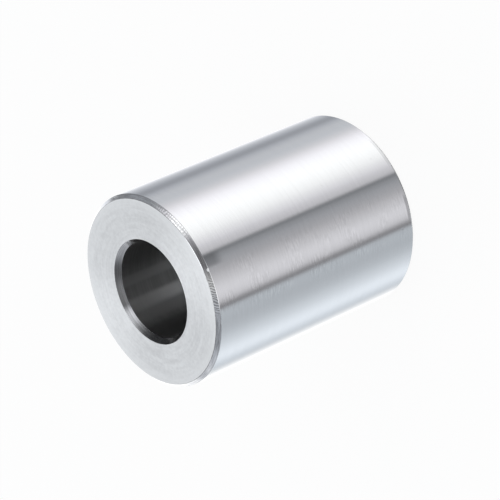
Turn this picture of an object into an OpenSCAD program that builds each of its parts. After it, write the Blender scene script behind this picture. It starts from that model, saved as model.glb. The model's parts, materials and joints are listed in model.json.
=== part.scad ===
// Spacer sleeve: a short thick-walled steel tube, turned in one piece.
// It stands on one end face, with its axis along +Z and the centre of
// that face at the origin. All sizes are in millimetres.

/* [Sleeve] */
// Outside diameter of the ground wall
outer_d = 24; // [18:0.5:48]
// Diameter of the through bore
bore_d = 12; // [4:0.5:14]
// Length over the two faced ends
sleeve_l = 32; // [4:0.5:96]

/* [Chamfers] */
// Leg of the 45 degree chamfer between the outside wall and each end face
outer_chamfer = 0.45; // [0.1:0.05:0.9]
// Width across the end face of the chamfer at each mouth of the bore
bore_chamfer_w = 0.55; // [0.1:0.05:0.9]
// Depth of the same chamfer along the bore
bore_chamfer_depth = 0.65; // [0.1:0.05:0.9]

/* [Hidden] */

// Fineness of the round surfaces
$fn = 180;

outer_r = outer_d / 2;
bore_r = bore_d / 2;

// Radii between which each end face is flat
face_inner_r = bore_r + bore_chamfer_w;
face_outer_r = outer_r - outer_chamfer;

// The wall as the lathe leaves it, cut along the axis: x is the distance
// from the axis and y the height. The points run round the section from
// the bottom face, up the outside, over the top face and down the bore.
module wall_section() {
    polygon([
        [face_inner_r, 0],
        [face_outer_r, 0],
        [outer_r, outer_chamfer],
        [outer_r, sleeve_l - outer_chamfer],
        [face_outer_r, sleeve_l],
        [face_inner_r, sleeve_l],
        [bore_r, sleeve_l - bore_chamfer_depth],
        [bore_r, bore_chamfer_depth]
    ]);
}

// The whole sleeve: its wall section turned about the axis
module sleeve() {
    color([0.80, 0.81, 0.82])
        rotate_extrude()
            wall_section();
}

sleeve();
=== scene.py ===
"""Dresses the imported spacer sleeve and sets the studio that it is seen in.

The sleeve is made as a lathe makes it. Its wall section is drawn once, the corners are
chamfered and slightly rounded, and the section is spun round the axis. The sleeve stands
on one end with +Z along the bore. All lengths are in metres.
"""

import json
import math

import bpy
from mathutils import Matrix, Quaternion, Vector


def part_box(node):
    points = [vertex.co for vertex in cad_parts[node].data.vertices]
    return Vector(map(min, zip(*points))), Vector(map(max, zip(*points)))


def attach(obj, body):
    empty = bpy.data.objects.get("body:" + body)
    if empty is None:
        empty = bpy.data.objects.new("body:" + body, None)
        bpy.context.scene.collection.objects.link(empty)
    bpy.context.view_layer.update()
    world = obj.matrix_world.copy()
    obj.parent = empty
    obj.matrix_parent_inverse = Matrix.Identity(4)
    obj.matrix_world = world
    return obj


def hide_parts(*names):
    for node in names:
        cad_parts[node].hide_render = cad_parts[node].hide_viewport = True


bl_info = {
    "name": "Spacer sleeve",
    "version": (1, 0, 0),
    "blender": (4, 5, 0),
    "location": "3D View > Sidebar > Sleeve",
    "description": "Turns a steel spacer sleeve on its packed frame and sets a studio round it",
    "category": "Object",
}

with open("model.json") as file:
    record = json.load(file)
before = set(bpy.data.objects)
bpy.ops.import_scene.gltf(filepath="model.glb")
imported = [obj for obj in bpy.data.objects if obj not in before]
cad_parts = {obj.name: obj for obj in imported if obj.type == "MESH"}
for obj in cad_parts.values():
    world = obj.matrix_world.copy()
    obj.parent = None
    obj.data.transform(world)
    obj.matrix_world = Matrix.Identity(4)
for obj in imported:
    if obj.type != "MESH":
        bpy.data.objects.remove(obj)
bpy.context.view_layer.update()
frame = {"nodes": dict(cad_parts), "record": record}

MM = 0.001
FULL_TURN = 2 * math.pi

# The sleeve's sizes, as the frame has them
LOW_CORNER, HIGH_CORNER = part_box("sleeve")
MOUNT_SIZES = {mount["name"]: mount["dims"] for mount in frame["record"]["mounts"]}
OUTER_R = MOUNT_SIZES["outside_wall"]["r_mm"] * MM
BORE_R = MOUNT_SIZES["bore"]["r_mm"] * MM
LENGTH = HIGH_CORNER.z - LOW_CORNER.z
OUTER_CHAMFER = (LENGTH - MOUNT_SIZES["outside_wall"]["length_mm"] * MM) / 2
BORE_CHAMFER_DEPTH = (LENGTH - MOUNT_SIZES["bore"]["length_mm"] * MM) / 2
CAD_POINTS = [point.co for point in frame["nodes"]["sleeve"].data.vertices]
END_HEIGHT = HIGH_CORNER.z - 0.01 * MM
END_RADII = [co.xy.length for co in CAD_POINTS if co.z > END_HEIGHT]
BORE_CHAMFER_WIDTH = min(END_RADII) - BORE_R

# How far the floor lies below the sleeve's foot, so that the two faces don't flicker
FLOOR_DROP = 0.02 * MM

# Where each mark, painted shade and painted highlight lies round the sleeve: the bearing of its middle
# from the camera's side, positive towards -X, half its width, both in degrees, and the share of that
# width that the fade leaves alone
WORN_WALL = (16.0, 18.0, 0.6)
FREE_END_DARK_PATCH = (-3.0, 4.5, 0.3)
# Painted shade along the foot's edge, one strong and one faint
FOOT_PAINTED_SHADE = (14.0, 9.0, 0.4)
FAINT_FOOT_PAINTED_SHADE = (-22.0, 12.0, 0.4)
SCORED_CHAMFER = (-34.0, 17.0, 0.6)
CHATTERED_CHAMFER = (16.5, 12.0, 0.6)
# Painted highlights on the rounded edges at the free end
HIGHLIT_WALL_EDGE = (12.0, 18.0, 0.6)
HIGHLIT_FACE_EDGE = (-10.0, 12.0, 0.6)
# Painted shade on one side of the bore's mouth, and a painted highlight on the other
MOUTH_PAINTED_SHADE = (97.0, 17.0, 0.8)
DARKEST_MOUTH_SHADE = (94.5, 6.0, 0.7)
MOUTH_PAINTED_HIGHLIGHT = (281.0, 17.0, 0.6)
# Painted shade down one side of the bore, and three painted highlight stripes
BORE_PAINTED_SHADE = (124.0, 22.0, 0.6)
FAINT_BORE_HIGHLIGHT = (158.0, 12.0, 0.0)
BRIGHT_BORE_HIGHLIGHT = (172.5, 10.5, 0.0)
SECOND_FAINT_BORE_HIGHLIGHT = (202.0, 8.0, 0.0)

# The burr's bearing in degrees, the radius of its spot, which is rough and brightened into a painted
# glint, and its roughness in the middle of it
BURR_BEARING = 1.5
BURR_AND_GLINT_RADIUS = 0.3 * MM
BURR_ROUGHNESS = 0.6

# How far the darker patch reaches into the wall, down from the free end's face, and the painted shade,
# up from the foot's chamfer: where each has faded, and where it is full
FREE_END_PATCH_REACH = (3.2 * MM, 1.6 * MM)
FOOT_SHADE_REACH = (0.48 * MM, 0.33 * MM)

# The share of the steel's brightness that the darker patch and the painted shade leave, and how strong
# the foot's faint painted shade is
DARKENING_SHARE = 0.62
FAINT_SHADE_SHARE = 0.45

# The light tent round the sleeve, in bands from the lowest up. Each stop is a bearing from the
# camera's side, in degrees and positive towards -X, the level there, where 1 is white, and a tint.
# The levels and tints were fitted, band by band, to the brightness of the steel in the photo.
PLAIN = (1.0, 1.0, 1.0)
LILAC = (1.0, 0.985, 1.02)
COOL = (0.97, 0.99, 1.04)
STEELY = (0.95, 0.985, 1.06)
SKY = (0.94, 0.995, 1.055)
PALE = (0.98, 1.0, 1.02)
GROUND_TENT = (
    # Dark behind, which the foot's chamfer mirrors
    (-180, 0.20, PLAIN),
    (-155, 0.24, COOL),
    (-120, 0.90, PLAIN),
    (-60, 1.25, PLAIN),
    (-30, 0.90, PLAIN),
    (-12, 0.40, COOL),
    (12, 0.70, PLAIN),
    (35, 0.95, PLAIN),
    (50, 0.50, COOL),
    (65, 0.85, SKY),
    (120, 1.00, SKY),
    (155, 0.24, COOL),
    (180, 0.20, PLAIN),
)
LOW_TENT = (
    # Behind, and the dark strip beside the key light
    (-180, 1.30, PLAIN),
    (-158, 0.86, COOL),
    (-139, 0.54, STEELY),
    (-128, 0.44, STEELY),
    (-121, 0.58, STEELY),
    (-112, 0.73, COOL),
    (-98, 0.80, COOL),
    (-88, 0.99, LILAC),
    # The key light, cut off short on its near side
    (-76, 1.38, LILAC),
    (-57, 1.55, PLAIN),
    (-38, 1.31, PLAIN),
    (-26, 0.97, LILAC),
    (-20, 0.80, LILAC),
    (-16.5, 0.70, LILAC),
    (-13.5, 0.29, COOL),
    (-10, 0.37, COOL),
    # The front, in the camera's own shade, up to a thin black edge
    (-5, 0.46, COOL),
    (9, 0.62, LILAC),
    (22, 0.86, LILAC),
    (33, 0.94, LILAC),
    (42, 0.72, LILAC),
    (48, 0.29, LILAC),
    (50.5, 0.47, COOL),
    (53, 0.67, SKY),
    # The bluish fill on the other side
    (70, 0.66, SKY),
    (84, 0.80, SKY),
    (99, 1.03, SKY),
    (116, 1.20, SKY),
    (137, 0.85, SKY),
    (157, 1.23, PLAIN),
    (180, 1.30, PLAIN),
)
LEVEL_TENT = (
    (-180, 1.40, PLAIN),
    (-152, 1.10, PLAIN),
    (-135, 0.40, COOL),
    (-108, 0.45, COOL),
    (-92, 0.80, COOL),
    (-60, 1.25, PLAIN),
    (-30, 1.00, PLAIN),
    (-12, 0.50, COOL),
    (12, 0.85, PLAIN),
    (35, 1.10, PLAIN),
    (48, 0.60, COOL),
    (60, 0.95, SKY),
    (90, 0.90, SKY),
    (150, 1.20, PLAIN),
    (180, 1.40, PLAIN),
)
MIDDLE_TENT = (
    (-180, 1.35, PLAIN),
    (-160, 1.35, PLAIN),
    (-154, 1.15, COOL),
    (-149, 0.90, COOL),
    (-144, 0.05, COOL),
    (-132, 0.01, COOL),
    (-107, 0.01, COOL),
    (-92, 0.06, COOL),
    (-77, 0.16, COOL),
    (-60, 0.48, COOL),
    (-41, 1.00, COOL),
    (-22, 1.00, COOL),
    (-8, 0.40, COOL),
    (0, 0.29, COOL),
    (41, 0.27, COOL),
    (60, 0.17, COOL),
    (77, 0.15, COOL),
    (92, 0.26, STEELY),
    (107, 0.50, STEELY),
    (122, 0.52, STEELY),
    (132, 0.60, STEELY),
    (142, 1.00, COOL),
    (153, 1.40, PLAIN),
    (180, 1.35, PLAIN),
)
HIGH_TENT = (
    (-180, 1.36, PALE),
    (-160, 1.36, PLAIN),
    (-151, 1.15, COOL),
    (-144, 0.95, COOL),
    (-139, 0.44, COOL),
    (-134, 0.31, COOL),
    (-122, 0.40, STEELY),
    (-96, 0.50, COOL),
    (-81, 1.12, LILAC),
    (-64, 1.80, PLAIN),
    (-46, 0.60, LILAC),
    (-30, 0.22, LILAC),
    (-10, 0.20, LILAC),
    (0, 0.25, LILAC),
    (22, 0.58, PLAIN),
    (45, 0.48, COOL),
    (64, 0.54, STEELY),
    (81, 0.43, STEELY),
    (96, 0.46, STEELY),
    (110, 0.69, STEELY),
    (122, 0.83, COOL),
    (134, 0.76, COOL),
    (144, 1.65, PLAIN),
    (155, 1.50, PLAIN),
    (180, 1.36, PALE),
)
TOP_TENT = (
    (-180, 1.17, PALE),
    (-168, 1.00, PALE),
    (-155, 0.54, PALE),
    (-140, 0.38, PALE),
    (-100, 0.34, PALE),
    (-50, 1.00, PALE),
    (0, 1.50, PALE),
    (50, 1.00, PALE),
    (100, 0.36, PALE),
    (140, 0.40, PALE),
    (155, 0.58, PALE),
    (168, 1.02, PALE),
    (180, 1.17, PALE),
)

# How far the tent's upper bands tip towards the back, and sag at the sides
TENT_TIP = 0.6
TENT_SAG = -0.25

# The heights between which the roof fades in, and its window, whose height is tipped
ROOF_FADE = (0.86, 0.95)
WINDOW_FADE = (1.12, 1.15)


class SleeveSizes(bpy.types.PropertyGroup):
    """The sleeve's own sizes"""

    outer_radius: bpy.props.FloatProperty(
        name="Outside radius",
        description="Radius of the ground outside wall",
        default=OUTER_R,
        unit="LENGTH",
    )
    bore_radius: bpy.props.FloatProperty(
        name="Bore radius",
        description="Radius of the through bore",
        default=BORE_R,
        unit="LENGTH",
    )
    length: bpy.props.FloatProperty(
        name="Length",
        description="Length from end face to end face",
        default=LENGTH,
        unit="LENGTH",
    )
    outer_chamfer: bpy.props.FloatProperty(
        name="Outside chamfer",
        description="Leg of the chamfer between the outside wall and each end face",
        default=OUTER_CHAMFER,
        unit="LENGTH",
    )
    bore_chamfer_width: bpy.props.FloatProperty(
        name="Bore chamfer width",
        description="Width across the end face of the chamfer at each mouth of the bore",
        default=BORE_CHAMFER_WIDTH,
        unit="LENGTH",
    )
    bore_chamfer_depth: bpy.props.FloatProperty(
        name="Bore chamfer depth",
        description="Depth of the same chamfer along the bore",
        default=BORE_CHAMFER_DEPTH,
        unit="LENGTH",
    )
    edge_round: bpy.props.FloatProperty(
        name="Edge rounding",
        description="Radius that handling and deburring leave on the outside chamfer's corners",
        default=0.1 * MM,
        unit="LENGTH",
    )
    bore_edge_round: bpy.props.FloatProperty(
        name="Bore edge rounding",
        description="Radius left on the bore chamfer's corners, which stay almost sharp",
        default=0.03 * MM,
        unit="LENGTH",
    )
    edge_steps: bpy.props.IntProperty(
        name="Edge steps",
        description="Flats across each rounded corner",
        default=3,
        min=1,
    )
    turn_steps: bpy.props.IntProperty(
        name="Turn steps",
        description="Flats in one full turn of the section",
        default=360,
        min=48,
    )


class SleeveFinish(bpy.types.PropertyGroup):
    """The colours and finishes of the steel"""

    steel_colour: bpy.props.FloatVectorProperty(
        name="Steel",
        description="Colour of the ground wall and the faced ends",
        default=(0.595, 0.602, 0.611),
        size=3,
        min=0.0,
        max=1.0,
        subtype="COLOR",
    )
    bore_colour: bpy.props.FloatVectorProperty(
        name="Bore steel",
        description="Colour of the duller steel in the bore and at its mouths",
        default=(0.5, 0.5, 0.5),
        size=3,
        min=0.0,
        max=1.0,
        subtype="COLOR",
    )
    wall_roughness: bpy.props.FloatProperty(
        name="Wall roughness",
        description="Roughness of the ground outside wall",
        default=0.13,
        subtype="FACTOR",
    )
    end_roughness: bpy.props.FloatProperty(
        name="End roughness",
        description="Roughness of the faced ends",
        default=0.38,
        subtype="FACTOR",
    )
    chamfer_roughness: bpy.props.FloatProperty(
        name="Chamfer roughness",
        description="Roughness of the outside chamfers",
        default=0.1,
        subtype="FACTOR",
    )
    bore_chamfer_roughness: bpy.props.FloatProperty(
        name="Bore chamfer roughness",
        description="Roughness of the chamfers at the bore's mouths",
        default=0.12,
        subtype="FACTOR",
    )
    edge_roughness: bpy.props.FloatProperty(
        name="Edge roughness",
        description="Roughness of the rounded edges, which handling has polished",
        default=0.12,
        subtype="FACTOR",
    )
    bore_roughness: bpy.props.FloatProperty(
        name="Bore roughness",
        description="Roughness of the bore",
        default=0.28,
        subtype="FACTOR",
    )
    bore_metal: bpy.props.FloatProperty(
        name="Bore metal share",
        description="How much of the bore is bare metal, the rest being a dull film",
        default=0.97,
        subtype="FACTOR",
    )


class SleeveStudio(bpy.types.PropertyGroup):
    """The floor, the light tent and the camera"""

    floor_size: bpy.props.FloatProperty(
        name="Floor size",
        description="Side of the square floor",
        default=2.0,
        unit="LENGTH",
    )
    floor_colour: bpy.props.FloatVectorProperty(
        name="Floor",
        description="Colour of the pale floor",
        default=(0.95, 0.95, 0.95),
        size=3,
        min=0.0,
        max=1.0,
        subtype="COLOR",
    )
    shadow_share: bpy.props.FloatProperty(
        name="Shadow share",
        description="How much of the floor's own shading the camera sees over its white",
        default=0.08,
        subtype="FACTOR",
    )
    tent_level: bpy.props.FloatProperty(
        name="Tent level",
        description="Brightness of the whole light tent, by which its levels are multiplied",
        default=1.1,
    )
    roof_level: bpy.props.FloatProperty(
        name="Roof level",
        description="Level of the light tent straight overhead, where 1 is white",
        default=1.38,
    )
    window_level: bpy.props.FloatProperty(
        name="Window level",
        description="Level of the window in the roof behind the sleeve, where 1 is white",
        default=1.65,
    )
    lens: bpy.props.FloatProperty(
        name="Lens",
        description="Focal length on a 36 mm sensor, in millimetres",
        default=205.226,
    )
    camera_distance: bpy.props.FloatProperty(
        name="Camera distance",
        description="Distance from the camera to the point that it is aimed at",
        default=0.334262,
        unit="LENGTH",
    )
    camera_elevation: bpy.props.FloatProperty(
        name="Camera elevation",
        description="Height of the camera over the end face, as an angle",
        default=math.radians(36.374),
        subtype="ANGLE",
    )
    camera_roll: bpy.props.FloatProperty(
        name="Camera roll",
        description="Turn of the picture, which lays the standing sleeve on its side",
        default=math.radians(-113.4129),
        subtype="ANGLE",
    )
    camera_aim: bpy.props.FloatVectorProperty(
        name="Camera aim",
        description="Point at the middle of the picture",
        default=(-0.125 * MM, -7.526 * MM, 21.782 * MM),
        size=3,
        unit="LENGTH",
    )


def add_node(tree, kind, inputs=None, **settings):
    """Adds a node with its settings. A socket given as an input is joined, and a value is set."""
    node = tree.nodes.new(kind)
    for name, value in settings.items():
        setattr(node, name, value)
    for name, value in (inputs or {}).items():
        if isinstance(value, bpy.types.NodeSocket):
            tree.links.new(value, node.inputs[name])
        else:
            node.inputs[name].default_value = value
    return node


def add_math(tree, operation, *values):
    """Adds one sum and gives its result."""
    return add_node(tree, "ShaderNodeMath", dict(enumerate(values)), operation=operation).outputs[0]


def add_range(tree, value, low, high, to_low=0.0, to_high=1.0):
    """Maps a value smoothly from one range to another."""
    inputs = {"Value": value, "From Min": low, "From Max": high}
    inputs.update({"To Min": to_low, "To Max": to_high})
    node = add_node(tree, "ShaderNodeMapRange", inputs, interpolation_type="SMOOTHSTEP")
    return node.outputs["Result"]


def add_blend(tree, share, first, second):
    """Blends two values."""
    node = add_node(tree, "ShaderNodeMix", {"Factor": share, "A": first, "B": second})
    return node.outputs["Result"]


def add_mix(tree, share, first, second):
    """Mixes two colours."""
    node = add_node(tree, "ShaderNodeMix", data_type="RGBA")
    for index, value in ((0, share), (6, first), (7, second)):
        if isinstance(value, bpy.types.NodeSocket):
            tree.links.new(value, node.inputs[index])
        else:
            node.inputs[index].default_value = value
    return node.outputs[2]


def mix_shaders(tree, share, first, second):
    """Mixes two shader nodes."""
    inputs = {0: share, 1: first.outputs[0], 2: second.outputs[0]}
    return add_node(tree, "ShaderNodeMixShader", inputs)


def new_tree(owner):
    """Empties a material's or the world's node tree, and gives it."""
    owner.use_nodes = True
    owner.node_tree.nodes.clear()
    return owner.node_tree


def shade(colour, factor):
    """A colour made darker or lighter, with the alpha that a node's socket needs."""
    return tuple(channel * factor for channel in colour) + (1.0,)


def own_place(tree):
    """Gives the X, Y and Z of the piece's own coordinates, and the distance from its axis."""
    place = add_node(tree, "ShaderNodeTexCoord").outputs["Object"]
    parts = add_node(tree, "ShaderNodeSeparateXYZ", {0: place}).outputs
    flat = add_node(tree, "ShaderNodeCombineXYZ", {"X": parts["X"], "Y": parts["Y"]})
    length = add_node(tree, "ShaderNodeVectorMath", {0: flat.outputs[0]}, operation="LENGTH")
    return parts["X"], parts["Y"], parts["Z"], length.outputs["Value"]


def tool_lines(tree, run, pitch, radial=False, seed=0.0):
    """Noise drawn out into lines round the axis, run being their length and pitch their spacing.

    The lines follow each other along the axis, or from the axis outwards if radial is set.
    """
    x, y, z, out = own_place(tree)
    scaled = {
        "X": add_math(tree, "DIVIDE", x, run),
        "Y": add_math(tree, "DIVIDE", y, run),
        "Z": add_math(tree, "MULTIPLY_ADD", out if radial else z, 1 / pitch, seed),
    }
    place = add_node(tree, "ShaderNodeCombineXYZ", scaled).outputs[0]
    settings = {"Vector": place, "Scale": 1.0, "Detail": 3.0, "Roughness": 0.6}
    return add_node(tree, "ShaderNodeTexNoise", settings).outputs["Fac"]


def patches(tree, size, low, high):
    """Soft patches of a given size: 0 where their noise is below low, and 1 above high."""
    place = add_node(tree, "ShaderNodeTexCoord").outputs["Object"]
    settings = {"Vector": place, "Scale": 1 / size, "Detail": 2.0}
    noise = add_node(tree, "ShaderNodeTexNoise", settings).outputs["Fac"]
    return add_range(tree, noise, low, high)


def chatter(tree, radius, pitch, slant):
    """Ripples that the tool leaves round a cut, leaning by slant for each unit of height."""
    x, y, z = own_place(tree)[:3]
    count = round(FULL_TURN * radius / pitch)
    turn = add_math(tree, "MULTIPLY", add_math(tree, "ARCTAN2", y, x), count)
    phase = add_math(tree, "MULTIPLY_ADD", z, slant * FULL_TURN / pitch, turn)
    # Their spacing wanders a little
    wander = patches(tree, 2 * pitch, 0.3, 0.7)
    phase = add_math(tree, "MULTIPLY_ADD", wander, FULL_TURN * 0.6, phase)
    return add_math(tree, "MULTIPLY_ADD", add_math(tree, "SINE", phase), 0.5, 0.5)


def sector(tree, place):
    """1 in the middle of a mark's place round the sleeve, fading to 0 at half its width."""
    middle, half, core = place
    x, y, _, out = own_place(tree)
    flat = add_node(tree, "ShaderNodeCombineXYZ", {"X": x, "Y": y}).outputs[0]
    towards = (-math.sin(math.radians(middle)), -math.cos(math.radians(middle)), 0)
    reach = add_node(tree, "ShaderNodeVectorMath", {0: flat, 1: towards}, operation="DOT_PRODUCT")
    share = add_math(tree, "DIVIDE", reach.outputs["Value"], out)
    return add_range(tree, share, math.cos(math.radians(half)), math.cos(math.radians(half * core)))


def pits(tree, spacing, size):
    """Sparse round pits: 1 in the middle of each pit, and 0 between them."""
    place = add_node(tree, "ShaderNodeTexCoord").outputs["Object"]
    settings = {"Vector": place, "Scale": 1 / spacing}
    distance = add_node(tree, "ShaderNodeTexVoronoi", settings).outputs["Distance"]
    return add_range(tree, distance, size / spacing, size / spacing / 3)


def burr_and_glint_spot(tree, sizes):
    """The one burr on the near edge of the free end, rough and with a painted glint: 1 in its middle,
    and 0 round it.
    """
    bearing = math.radians(BURR_BEARING)
    place = add_node(tree, "ShaderNodeTexCoord").outputs["Object"]
    spot = (
        -sizes.outer_radius * math.sin(bearing),
        -sizes.outer_radius * math.cos(bearing),
        sizes.length - sizes.outer_chamfer,
    )
    distance = add_node(tree, "ShaderNodeVectorMath", {0: place, 1: spot}, operation="DISTANCE")
    return add_range(tree, distance.outputs["Value"], BURR_AND_GLINT_RADIUS, BURR_AND_GLINT_RADIUS / 2)


def add_steel(
    tree, colour, roughness, lines, contrast, depth, anisotropy, metal=1.0, rough_glint_spot=None, darkened=None
):
    """Ends a steel's tree. Its lines run from 0, darkest, over 0.5, plain steel, to 1, brightest.

    The contrast is how far they darken and lighten the colour, and the depth how high they stand.
    Where the burr's spot is, from 0 to 1, it is rough, and where it is darkened it is darker.
    """
    tint = add_mix(tree, lines, shade(colour, 1 - contrast), shade(colour, 1 + contrast))
    if darkened:
        tint = add_mix(tree, darkened, tint, shade(colour, DARKENING_SHARE))
    gloss = add_range(tree, lines, 0.0, 1.0, roughness * 1.1, roughness * 0.9) if depth else roughness
    if rough_glint_spot:
        gloss = add_blend(tree, rough_glint_spot, gloss, BURR_ROUGHNESS)
    relief = add_node(tree, "ShaderNodeBump", {"Strength": 1.0, "Distance": depth, "Height": lines})
    steel = {
        "Base Color": tint,
        "Metallic": metal,
        "Roughness": gloss,
        "Anisotropic": anisotropy,
        "Anisotropic Rotation": 0.25,
        "Normal": relief.outputs[0],
        "Tangent": add_node(tree, "ShaderNodeTangent", direction_type="RADIAL", axis="Z").outputs[0],
    }
    surface = add_node(tree, "ShaderNodeBsdfPrincipled", steel).outputs[0]
    add_node(tree, "ShaderNodeOutputMaterial", {"Surface": surface})


def ground_wall(material, finish, sizes):
    """Fine grinding lines round the wall, deeper in some patches, with a few pits, a darker patch by
    the free end and painted shade along the foot's edge.
    """
    tree = new_tree(material)
    lines = add_range(tree, tool_lines(tree, 9 * MM, 0.1 * MM), 0.3, 0.7)
    lines = add_range(tree, lines, 0.0, 1.0, 0.4, 0.6)
    deep = add_range(tree, tool_lines(tree, 1.0 * MM, 0.2 * MM, seed=31.0), 0.35, 0.65, 0.1, 0.9)
    blend_share = add_math(tree, "MULTIPLY", patches(tree, 3 * MM, 0.42, 0.62), sector(tree, WORN_WALL))
    marks = add_blend(tree, blend_share, lines, deep)
    marks = add_math(tree, "SUBTRACT", marks, pits(tree, 3.1 * MM, 0.16 * MM))
    # A darker patch runs in from the free end's edge beside the burr
    height = own_place(tree)[2]
    fade_from, fade_to = (sizes.length - reach for reach in FREE_END_PATCH_REACH)
    darkened = add_range(tree, height, fade_from, fade_to)
    darkened = add_math(tree, "MULTIPLY", darkened, sector(tree, FREE_END_DARK_PATCH))
    # Painted shade runs in a thin line along the foot's edge, strong in one place and weak in another
    fade_from, fade_to = (sizes.outer_chamfer + reach for reach in FOOT_SHADE_REACH)
    foot = add_math(tree, "MULTIPLY", sector(tree, FAINT_FOOT_PAINTED_SHADE), FAINT_SHADE_SHARE)
    foot = add_math(tree, "MAXIMUM", foot, sector(tree, FOOT_PAINTED_SHADE))
    foot = add_math(tree, "MULTIPLY", foot, add_range(tree, height, fade_from, fade_to))
    darkened = add_math(tree, "MAXIMUM", darkened, foot)
    add_steel(
        tree, finish.steel_colour, finish.wall_roughness, marks,
        contrast=0.08, depth=0.002 * MM, anisotropy=0.8, darkened=darkened,
    )


def faced_end(material, finish, sizes):
    """Faint facing rings that come and go round the end, over a cloudy satin."""
    tree = new_tree(material)
    rings = add_range(tree, tool_lines(tree, 7 * MM, 0.3 * MM, radial=True), 0.3, 0.7)
    broad = add_range(tree, tool_lines(tree, 5 * MM, 0.5 * MM, radial=True, seed=17.0), 0.3, 0.7)
    marks = add_blend(tree, patches(tree, 3.5 * MM, 0.45, 0.6), rings, broad)
    marks = add_blend(tree, 0.45, marks, patches(tree, 0.35 * MM, 0.3, 0.7))
    # The tool left the outermost millimetres a little brighter
    rim = add_range(tree, own_place(tree)[3], sizes.outer_radius * 0.8, sizes.outer_radius, 0.0, 0.7)
    marks = add_blend(tree, rim, marks, 1.0)
    add_steel(
        tree, finish.steel_colour, finish.end_roughness, marks,
        contrast=0.065, depth=0.0015 * MM, anisotropy=0.7,
    )


def cut_chamfer(material, finish, sizes):
    """Tool lines round the outside chamfer, with a scored stretch, a burr with a painted glint and
    slanting chatter.
    """
    tree = new_tree(material)
    marks = add_range(tree, tool_lines(tree, 1.5 * MM, 0.13 * MM), 0.2, 0.8, 0.2, 0.8)
    scores = add_range(tree, tool_lines(tree, 3 * MM, 0.16 * MM, seed=5.0), 0.35, 0.65, 0.3, 0.95)
    rungs = add_range(tree, chatter(tree, sizes.outer_radius, 0.38 * MM, 0.0), 0.1, 0.5, 0.4, 1.0)
    scores = add_math(tree, "MULTIPLY", scores, rungs)
    marks = add_blend(tree, sector(tree, SCORED_CHAMFER), marks, scores)
    ripples = chatter(tree, sizes.outer_radius, 0.33 * MM, -0.6)
    marks = add_blend(tree, sector(tree, CHATTERED_CHAMFER), marks, ripples)
    rough_glint_spot = burr_and_glint_spot(tree, sizes)
    # The burr's spot is brightened into a painted glint, and made rough
    marks = add_math(tree, "MAXIMUM", marks, rough_glint_spot)
    add_steel(
        tree, finish.steel_colour, finish.chamfer_roughness, marks,
        contrast=0.4, depth=0.003 * MM, anisotropy=0.4, rough_glint_spot=rough_glint_spot,
    )


def bore_chamfer(material, finish, sizes):
    """Tool lines round the chamfer at each mouth of the bore, with painted shade on one side and a
    painted highlight on the other.
    """
    tree = new_tree(material)
    lines = add_range(tree, tool_lines(tree, 4 * MM, 0.16 * MM), 0.35, 0.65, 0.4, 0.6)
    # Painted shade on one side of the mouth, darkest near its middle
    marks = add_blend(tree, sector(tree, MOUTH_PAINTED_SHADE), lines, 0.22)
    marks = add_blend(tree, sector(tree, DARKEST_MOUTH_SHADE), marks, 0.0)
    # A painted highlight on the other side of the mouth
    marks = add_blend(tree, sector(tree, MOUTH_PAINTED_HIGHLIGHT), marks, 1.0)
    add_steel(
        tree, finish.bore_colour, finish.bore_chamfer_roughness, marks,
        contrast=0.75, depth=0.0015 * MM, anisotropy=0.4,
    )


def polished_edge_with_highlight(material, finish, sizes):
    """The rounded edges, polished by handling and still uneven, with painted highlights beside the burr
    and a painted glint on it.
    """
    tree = new_tree(material)
    uneven = add_range(tree, tool_lines(tree, 0.5 * MM, 0.1 * MM), 0.3, 0.7, 0.15, 0.4)
    # A painted highlight lies on the wall's edge beside the burr, and on the face's edge on the other
    # side of it
    middle = sizes.outer_radius - sizes.outer_chamfer / 2
    z, out = own_place(tree)[2:]
    on_face = add_math(tree, "LESS_THAN", out, middle)
    blend_share = add_blend(tree, on_face, sector(tree, HIGHLIT_WALL_EDGE), sector(tree, HIGHLIT_FACE_EDGE))
    blend_share = add_math(tree, "MULTIPLY", blend_share, add_math(tree, "GREATER_THAN", z, sizes.length / 2))
    marks = add_blend(tree, blend_share, uneven, 0.85)
    rough_glint_spot = burr_and_glint_spot(tree, sizes)
    # The burr's spot is brightened into a painted glint, and made rough
    marks = add_math(tree, "MAXIMUM", marks, rough_glint_spot)
    add_steel(
        tree, finish.steel_colour, finish.edge_roughness, marks,
        contrast=0.6, depth=0.003 * MM, anisotropy=0.2, rough_glint_spot=rough_glint_spot,
    )


def turned_bore(material, finish, sizes):
    """Turning lines round the bore, with painted shade down one side and painted highlights in three
    stripes.
    """
    tree = new_tree(material)
    lines = add_range(tree, tool_lines(tree, 9 * MM, 0.3 * MM), 0.3, 0.7, 0.43, 0.51)
    # Painted shade down one side of the bore, and a faint painted highlight stripe
    marks = add_blend(tree, sector(tree, BORE_PAINTED_SHADE), lines, 0.33)
    marks = add_blend(tree, sector(tree, FAINT_BORE_HIGHLIGHT), marks, 0.59)
    # The brightest painted highlight stripe fades towards the free end's mouth
    fade_from, fade_to = sizes.length - 2 * MM, sizes.length - 8 * MM
    deep = add_range(tree, own_place(tree)[2], fade_from, fade_to, 0.5, 1.0)
    stripe = add_math(tree, "MULTIPLY", sector(tree, BRIGHT_BORE_HIGHLIGHT), deep)
    marks = add_blend(tree, stripe, marks, 1.0)
    # A second faint painted highlight stripe
    marks = add_blend(tree, sector(tree, SECOND_FAINT_BORE_HIGHLIGHT), marks, 0.6)
    add_steel(
        tree, finish.bore_colour, finish.bore_roughness, marks,
        contrast=1.0, depth=0.0, anisotropy=0.2, metal=finish.bore_metal,
    )


def cut_corner(on_end, on_side, out):
    """Cuts a corner off the section, along the line from a point on its end to one on its side."""
    bpy.ops.object.mode_set(mode="EDIT")
    bpy.ops.mesh.select_all(action="SELECT")
    along = on_side - on_end
    across = Vector((-along.z, 0, along.x)).normalized()
    if across.dot(out) < 0:
        across.negate()
    bpy.ops.mesh.bisect(plane_co=on_end, plane_no=across, clear_outer=True)
    bpy.ops.object.mode_set(mode="OBJECT")


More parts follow.
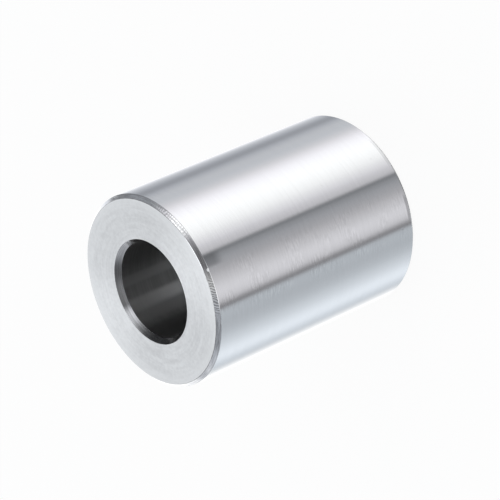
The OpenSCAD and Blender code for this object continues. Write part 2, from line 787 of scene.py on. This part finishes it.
def round_corners(piece, low, high, leg, steps):
    """Rounds the section's corners between two radii, each arc starting a leg from its corner."""
    bpy.ops.object.mode_set(mode="EDIT")
    bpy.ops.mesh.select_mode(type="VERT")
    bpy.ops.mesh.select_all(action="DESELECT")
    bpy.ops.object.mode_set(mode="OBJECT")
    for corner in piece.data.vertices:
        corner.select = low < corner.co.x < high
    bpy.ops.object.mode_set(mode="EDIT")
    bpy.ops.mesh.bevel(offset_type="OFFSET", offset=leg, segments=steps, profile=0.5, affect="VERTICES")
    bpy.ops.object.mode_set(mode="OBJECT")


def draw_section(sizes):
    """Draws the wall as cut along the axis: a plate in the XZ plane, with its corners cut."""
    wall = sizes.outer_radius - sizes.bore_radius
    middle = Vector(((sizes.outer_radius + sizes.bore_radius) / 2, 0, sizes.length / 2))
    bpy.ops.object.select_all(action="DESELECT")
    upright = (math.radians(90), 0, 0)
    bpy.ops.mesh.primitive_plane_add(size=wall, location=middle, rotation=upright)
    piece = bpy.context.object
    piece.name = piece.data.name = "turned_sleeve"
    bpy.ops.object.mode_set(mode="EDIT")
    bpy.ops.mesh.select_all(action="SELECT")
    bpy.ops.transform.resize(value=(1, 1, sizes.length / wall), center_override=middle)
    bpy.ops.object.mode_set(mode="OBJECT")
    bpy.ops.object.transform_apply(location=True, rotation=True, scale=True)
    # Each side's radius, the way out of the wall there, and the chamfer's width and depth
    outside = (sizes.outer_radius, 1, sizes.outer_chamfer, sizes.outer_chamfer)
    inside = (sizes.bore_radius, -1, sizes.bore_chamfer_width, sizes.bore_chamfer_depth)
    for end, up in ((sizes.length, 1), (0, -1)):
        for radius, out, width, depth in (outside, inside):
            on_end = Vector((radius - out * width, 0, end))
            on_side = Vector((radius, 0, end - up * depth))
            cut_corner(on_end, on_side, Vector((out, 0, up)))
    # An arc that joins two sides 45 degrees apart starts this far from their corner
    leg_share = math.tan(math.radians(45) / 2)
    far_out = 2 * sizes.outer_radius
    round_corners(piece, middle.x, far_out, sizes.edge_round * leg_share, sizes.edge_steps)
    round_corners(piece, 0, middle.x, sizes.bore_edge_round * leg_share, sizes.edge_steps)
    return piece


def spin_section(steps):
    """Spins the outline of the section drawn last round the axis, into a closed sleeve."""
    bpy.ops.object.mode_set(mode="EDIT")
    bpy.ops.mesh.select_mode(type="VERT")
    bpy.ops.mesh.select_all(action="SELECT")
    bpy.ops.mesh.delete(type="ONLY_FACE")
    bpy.ops.mesh.select_all(action="SELECT")
    bpy.ops.mesh.spin(steps=steps, angle=FULL_TURN, center=(0, 0, 0), axis=(0, 0, 1))
    bpy.ops.mesh.select_all(action="SELECT")
    bpy.ops.mesh.remove_doubles(threshold=0.001 * MM)
    bpy.ops.mesh.normals_make_consistent(inside=False)
    bpy.ops.object.mode_set(mode="OBJECT")


def resize(piece, factor):
    """Makes the piece larger or smaller about the origin."""
    piece.scale = (factor, factor, factor)
    bpy.ops.object.transform_apply(location=False, rotation=False, scale=True)


def smooth_turning(piece):
    """Shades the turned faces round, with the flats and walls true up to their corners."""
    bpy.ops.object.shade_smooth()
    # The modifier passes over faces of less than a square millimetre, so they are made larger for it
    resize(piece, 1 / MM)
    weighted = piece.modifiers.new("true_flats", "WEIGHTED_NORMAL")
    weighted.mode = "FACE_AREA"
    weighted.weight = 100
    bpy.ops.object.modifier_apply(modifier=weighted.name)
    resize(piece, MM)


def give_finishes(piece, sizes, finish):
    """Gives the wall, the ends, the chamfers, the bore and the rounded edges each their own finish."""
    for give_finish in FINISHES:
        material = bpy.data.materials.new(give_finish.__name__)
        give_finish(material, finish, sizes)
        piece.data.materials.append(material)
    middle = (sizes.outer_radius + sizes.bore_radius) / 2
    # How far a face of each kind rises, as the Z of its normal, and how near it has to come to that
    outer_rise = math.cos(math.radians(45))
    bore_rise = math.cos(math.atan2(sizes.bore_chamfer_depth, sizes.bore_chamfer_width))
    tolerance = 0.01
    for face in piece.data.polygons:
        outside = face.center.xy.length > middle
        kinds = {
            0: ground_wall if outside else turned_bore,
            1: faced_end,
            outer_rise if outside else bore_rise: cut_chamfer if outside else bore_chamfer,
        }
        rise = abs(face.normal.z)
        nearest = min(kinds, key=lambda kind: abs(kind - rise))
        kind = kinds[nearest] if abs(nearest - rise) < tolerance else polished_edge_with_highlight
        face.material_index = FINISHES.index(kind)


FINISHES = (ground_wall, faced_end, cut_chamfer, bore_chamfer, polished_edge_with_highlight, turned_bore)


class SLEEVE_OT_turn_sleeve(bpy.types.Operator):
    """Turn the sleeve from its wall section and finish each of its surfaces"""

    bl_idname = "sleeve.turn_sleeve"
    bl_label = "Turn the sleeve"
    bl_options = {"REGISTER", "UNDO"}

    def execute(self, context):
        sizes = context.scene.sleeve_sizes
        piece = draw_section(sizes)
        spin_section(sizes.turn_steps)
        smooth_turning(piece)
        give_finishes(piece, sizes, context.scene.sleeve_finish)
        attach(piece, "root")
        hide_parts("sleeve")
        return {"FINISHED"}


def make_floor(studio, bore_radius, foot_radius):
    """Lays the pale floor. The camera sees it as white, with a share of its own shadow."""
    bpy.ops.object.select_all(action="DESELECT")
    bpy.ops.mesh.primitive_plane_add(size=studio.floor_size, location=(0, 0, -FLOOR_DROP))
    floor = bpy.context.object
    floor.name = floor.data.name = "floor"
    material = bpy.data.materials.new("pale_floor")
    tree = new_tree(material)
    ray = add_node(tree, "ShaderNodeLightPath").outputs
    reach = own_place(tree)[3]
    around = add_math(tree, "GREATER_THAN", reach, foot_radius)
    matt = add_node(tree, "ShaderNodeBsdfDiffuse", {"Color": shade(studio.floor_colour, 1)})
    white = add_node(tree, "ShaderNodeEmission", {"Color": shade(PLAIN, 1), "Strength": 1.0})
    white_share = add_math(tree, "MULTIPLY", ray["Is Camera Ray"], 1 - studio.shadow_share)
    white_share = add_math(tree, "MULTIPLY", white_share, around)
    seen = mix_shaders(tree, white_share, matt, white)
    # Polished steel looks through the floor at the tent, except under the sleeve's own wall
    clear = add_node(tree, "ShaderNodeBsdfTransparent")
    open_floor = add_math(tree, "ADD", around, add_math(tree, "LESS_THAN", reach, bore_radius))
    clear_share = add_math(tree, "MULTIPLY", ray["Is Glossy Ray"], open_floor)
    surface = mix_shaders(tree, clear_share, seen, clear)
    add_node(tree, "ShaderNodeOutputMaterial", {"Surface": surface.outputs[0]})
    floor.data.materials.append(material)


def add_tent_band(tree, bearing, stops):
    """Adds one band of the light tent: its tint and half its brightness, by bearing."""
    ramp = add_node(tree, "ShaderNodeValToRGB", {"Fac": bearing})
    ramp.color_ramp.interpolation = "CARDINAL"
    elements = ramp.color_ramp.elements
    elements.remove(elements[1])
    for index, (degrees, level, tint) in enumerate(stops):
        position = (degrees + 180) / 360
        element = elements[0] if index == 0 else elements.new(position)
        element.position = position
        element.color = shade(tint, level / 2)
    return ramp.outputs["Color"]


def make_tent(studio):
    """Puts the light tent in the world. The camera sees plain white in its place."""
    world = bpy.data.worlds.new("light_tent")
    bpy.context.scene.world = world
    tree = new_tree(world)
    direction = add_node(tree, "ShaderNodeTexCoord").outputs["Generated"]
    parts = add_node(tree, "ShaderNodeSeparateXYZ", {0: direction}).outputs
    x, y, height = parts["X"], parts["Y"], parts["Z"]
    left = add_math(tree, "MULTIPLY", x, -1.0)
    near = add_math(tree, "MULTIPLY", y, -1.0)
    angle = add_math(tree, "ARCTAN2", left, near)
    bearing = add_math(tree, "MULTIPLY_ADD", angle, 1 / FULL_TURN, 0.5)
    # The upper bands tip down behind the sleeve, and sag in the middle of each side
    tipped = add_math(tree, "MULTIPLY_ADD", y, TENT_TIP, height)
    tipped = add_math(tree, "MULTIPLY_ADD", add_math(tree, "ABSOLUTE", x), TENT_SAG, tipped)
    # Each band fades in over the last one between two heights
    light = add_tent_band(tree, bearing, GROUND_TENT)
    for band, rise, low, high in (
        (LOW_TENT, height, -0.77, -0.70),
        (LEVEL_TENT, height, -0.45, -0.30),
        (MIDDLE_TENT, tipped, -0.05, 0.15),
        (HIGH_TENT, tipped, 0.32, 0.345),
        (TOP_TENT, tipped, 0.56, 0.68),
    ):
        share = add_range(tree, rise, low, high)
        light = add_mix(tree, share, light, add_tent_band(tree, bearing, band))
    roof = shade(PALE, studio.roof_level / 2)
    light = add_mix(tree, add_range(tree, height, *ROOF_FADE), light, roof)
    # One window in the roof slopes down behind the sleeve
    window = shade(PALE, studio.window_level / 2)
    light = add_mix(tree, add_range(tree, tipped, *WINDOW_FADE), light, window)
    # A ramp holds no colour above 1, so the bands are half as bright as they shine
    strength = 2 * studio.tent_level
    tent = add_node(tree, "ShaderNodeBackground", {"Color": light, "Strength": strength})
    white = add_node(tree, "ShaderNodeBackground", {"Color": shade(PLAIN, 1), "Strength": 1.0})
    ray = add_node(tree, "ShaderNodeLightPath").outputs["Is Camera Ray"]
    seen = mix_shaders(tree, ray, tent, white)
    add_node(tree, "ShaderNodeOutputWorld", {"Surface": seen.outputs[0]})


def place_camera(studio):
    """Stands the camera over the near side of the free end face, turned on its side."""
    camera = bpy.data.objects.new("camera", bpy.data.cameras.new("camera"))
    bpy.context.scene.collection.objects.link(camera)
    camera.data.lens = studio.lens
    rise = studio.camera_elevation
    back = Vector((0, -math.cos(rise), math.sin(rise)))
    camera.location = Vector(studio.camera_aim) + back * studio.camera_distance
    upright = (-back).to_track_quat("-Z", "Y")
    camera.rotation_mode = "QUATERNION"
    camera.rotation_quaternion = upright @ Quaternion((0, 0, 1), studio.camera_roll)
    camera.data.clip_start = studio.camera_distance / 100
    bpy.context.scene.camera = camera


class SLEEVE_OT_set_stage(bpy.types.Operator):
    """Lay the floor, hang the light tent and stand the camera"""

    bl_idname = "sleeve.set_stage"
    bl_label = "Set the stage"
    bl_options = {"REGISTER", "UNDO"}

    def execute(self, context):
        studio = context.scene.sleeve_studio
        sizes = context.scene.sleeve_sizes
        make_floor(studio, sizes.bore_radius, sizes.outer_radius - sizes.outer_chamfer)
        make_tent(studio)
        place_camera(studio)
        context.scene.view_settings.view_transform = "Standard"
        return {"FINISHED"}


class SLEEVE_PT_panel(bpy.types.Panel):
    """The sleeve's sizes, finishes and steps"""

    bl_idname = "SLEEVE_PT_panel"
    bl_label = "Spacer sleeve"
    bl_space_type = "VIEW_3D"
    bl_region_type = "UI"
    bl_category = "Sleeve"

    def draw(self, context):
        for holder in GROUPS:
            group = getattr(context.scene, holder)
            box = self.layout.box()
            for name in group.__annotations__:
                box.prop(group, name)
        for operator in OPERATORS:
            self.layout.operator(operator.bl_idname)


GROUPS = {
    "sleeve_sizes": SleeveSizes,
    "sleeve_finish": SleeveFinish,
    "sleeve_studio": SleeveStudio,
}
OPERATORS = (SLEEVE_OT_turn_sleeve, SLEEVE_OT_set_stage)
CLASSES = (*GROUPS.values(), *OPERATORS, SLEEVE_PT_panel)


def register():
    """Adds the classes, and gives every scene its groups of values."""
    for cls in CLASSES:
        bpy.utils.register_class(cls)
    for name, group in GROUPS.items():
        setattr(bpy.types.Scene, name, bpy.props.PointerProperty(type=group))


def unregister():
    """Takes the groups and the classes away again."""
    for name in GROUPS:
        delattr(bpy.types.Scene, name)
    for cls in reversed(CLASSES):
        bpy.utils.unregister_class(cls)


def main():
    """Turns the sleeve and sets the stage."""
    register()
    bpy.ops.sleeve.turn_sleeve()
    bpy.ops.sleeve.set_stage()


if __name__ == "__main__":
    main()
